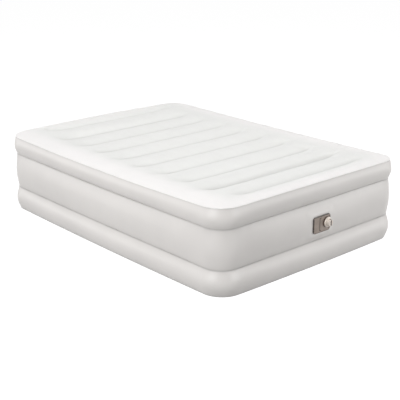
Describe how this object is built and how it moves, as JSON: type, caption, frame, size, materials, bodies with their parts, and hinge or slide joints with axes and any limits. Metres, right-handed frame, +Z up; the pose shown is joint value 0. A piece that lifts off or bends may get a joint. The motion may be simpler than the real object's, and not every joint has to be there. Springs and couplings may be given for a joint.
{
  "type": "air mattress",
  "caption": "Raised double air bed with flocked channel top, three-tier vinyl side wall, internal beams and a built-in electric pump with dial and cord door.",
  "frame": {"origin": "on the floor, under the middle of the bed", "axes": "+Z up, Y along the bed with the pump end at -Y, X across the bed"},
  "size_m": [1.3696, 1.94, 0.465],
  "materials": {
    "flocked_top": "flocked, soft matt",
    "vinyl_wall": "smooth satin vinyl",
    "vinyl_base": "smooth vinyl",
    "vinyl_beam": "plain vinyl sheet",
    "pump_face": "fine moulded texture",
    "pump_dial": "satin moulded",
    "pump_shell": "plain moulded",
    "pump_inner": "plain moulded",
    "soft_rubber": "matt",
    "steel": "bright",
    "bush_brass": "turned",
    "winding": "lacquered copper",
    "carbon": "matt carbon"
  },
  "bodies": {
    "bed": {"top_sheet": "flocked_top", "wall_upper": "vinyl_wall", "wall_middle": "vinyl_wall", "wall_lower": "vinyl_wall", "bottom_sheet": "vinyl_base", "girdle_upper": "vinyl_beam", "girdle_lower": "vinyl_beam", "cross_beam_1": "vinyl_beam", "cross_beam_2": "vinyl_beam", "cross_beam_3": "vinyl_beam", "cross_beam_4": "vinyl_beam", "cross_beam_5": "vinyl_beam", "cross_beam_6": "vinyl_beam", "cross_beam_7": "vinyl_beam", "cross_beam_8": "vinyl_beam", "cross_beam_9": "vinyl_beam", "cross_beam_10": "vinyl_beam", "pump_collar": "vinyl_beam", "pump_gasket": "soft_rubber", "pump_housing": "pump_shell", "faceplate": "pump_face", "faceplate_screws": "steel", "cord_tray": "pump_shell", "cord_gland": "soft_rubber", "door_hinge_pin": "steel", "valve_seat": "pump_inner", "motor_switch": "pump_shell", "blower_casing": "pump_inner", "motor_bracket": "steel", "motor_can": "steel", "motor_end_cap": "steel", "motor_bushes": "bush_brass", "stator_ring": "steel", "carbon_brushes": "carbon", "check_valve_spring": "steel"},
    "dial": {"dial_knob": "pump_dial", "dial_stem": "pump_inner", "valve_rotor": "pump_inner", "switch_cam": "pump_inner"},
    "door": {"cord_door": "pump_face"},
    "fan": {"impeller": "pump_inner", "motor_shaft": "steel", "armature": "winding"},
    "check_valve": {"check_valve_disc": "soft_rubber"}
  },
  "joints": [
    {"name": "dial_turn", "type": "hinge", "parent": "bed", "child": "dial", "pos_m": [0.051, -0.948, 0.232], "axis": [0, -1, 0], "range_deg": [-60, 60]},
    {"name": "door_swing", "type": "hinge", "parent": "bed", "child": "door", "pos_m": [-0.0014, -0.9531, 0.228], "axis": [0, 0, 1], "range_deg": [0, 100]},
    {"name": "fan_spin", "type": "hinge", "parent": "bed", "child": "fan", "pos_m": [0.036, -0.948, 0.228], "axis": [0, 1, 0], "continuous": true},
    {"name": "check_valve_lift", "type": "slide", "parent": "bed", "child": "check_valve", "axis": [0, 1, 0], "range_m": [0, 0.005], "stiffness_N_per_m": 60, "springref_m": -0.003, "deforming": ["check_valve_spring"]}
  ]
}
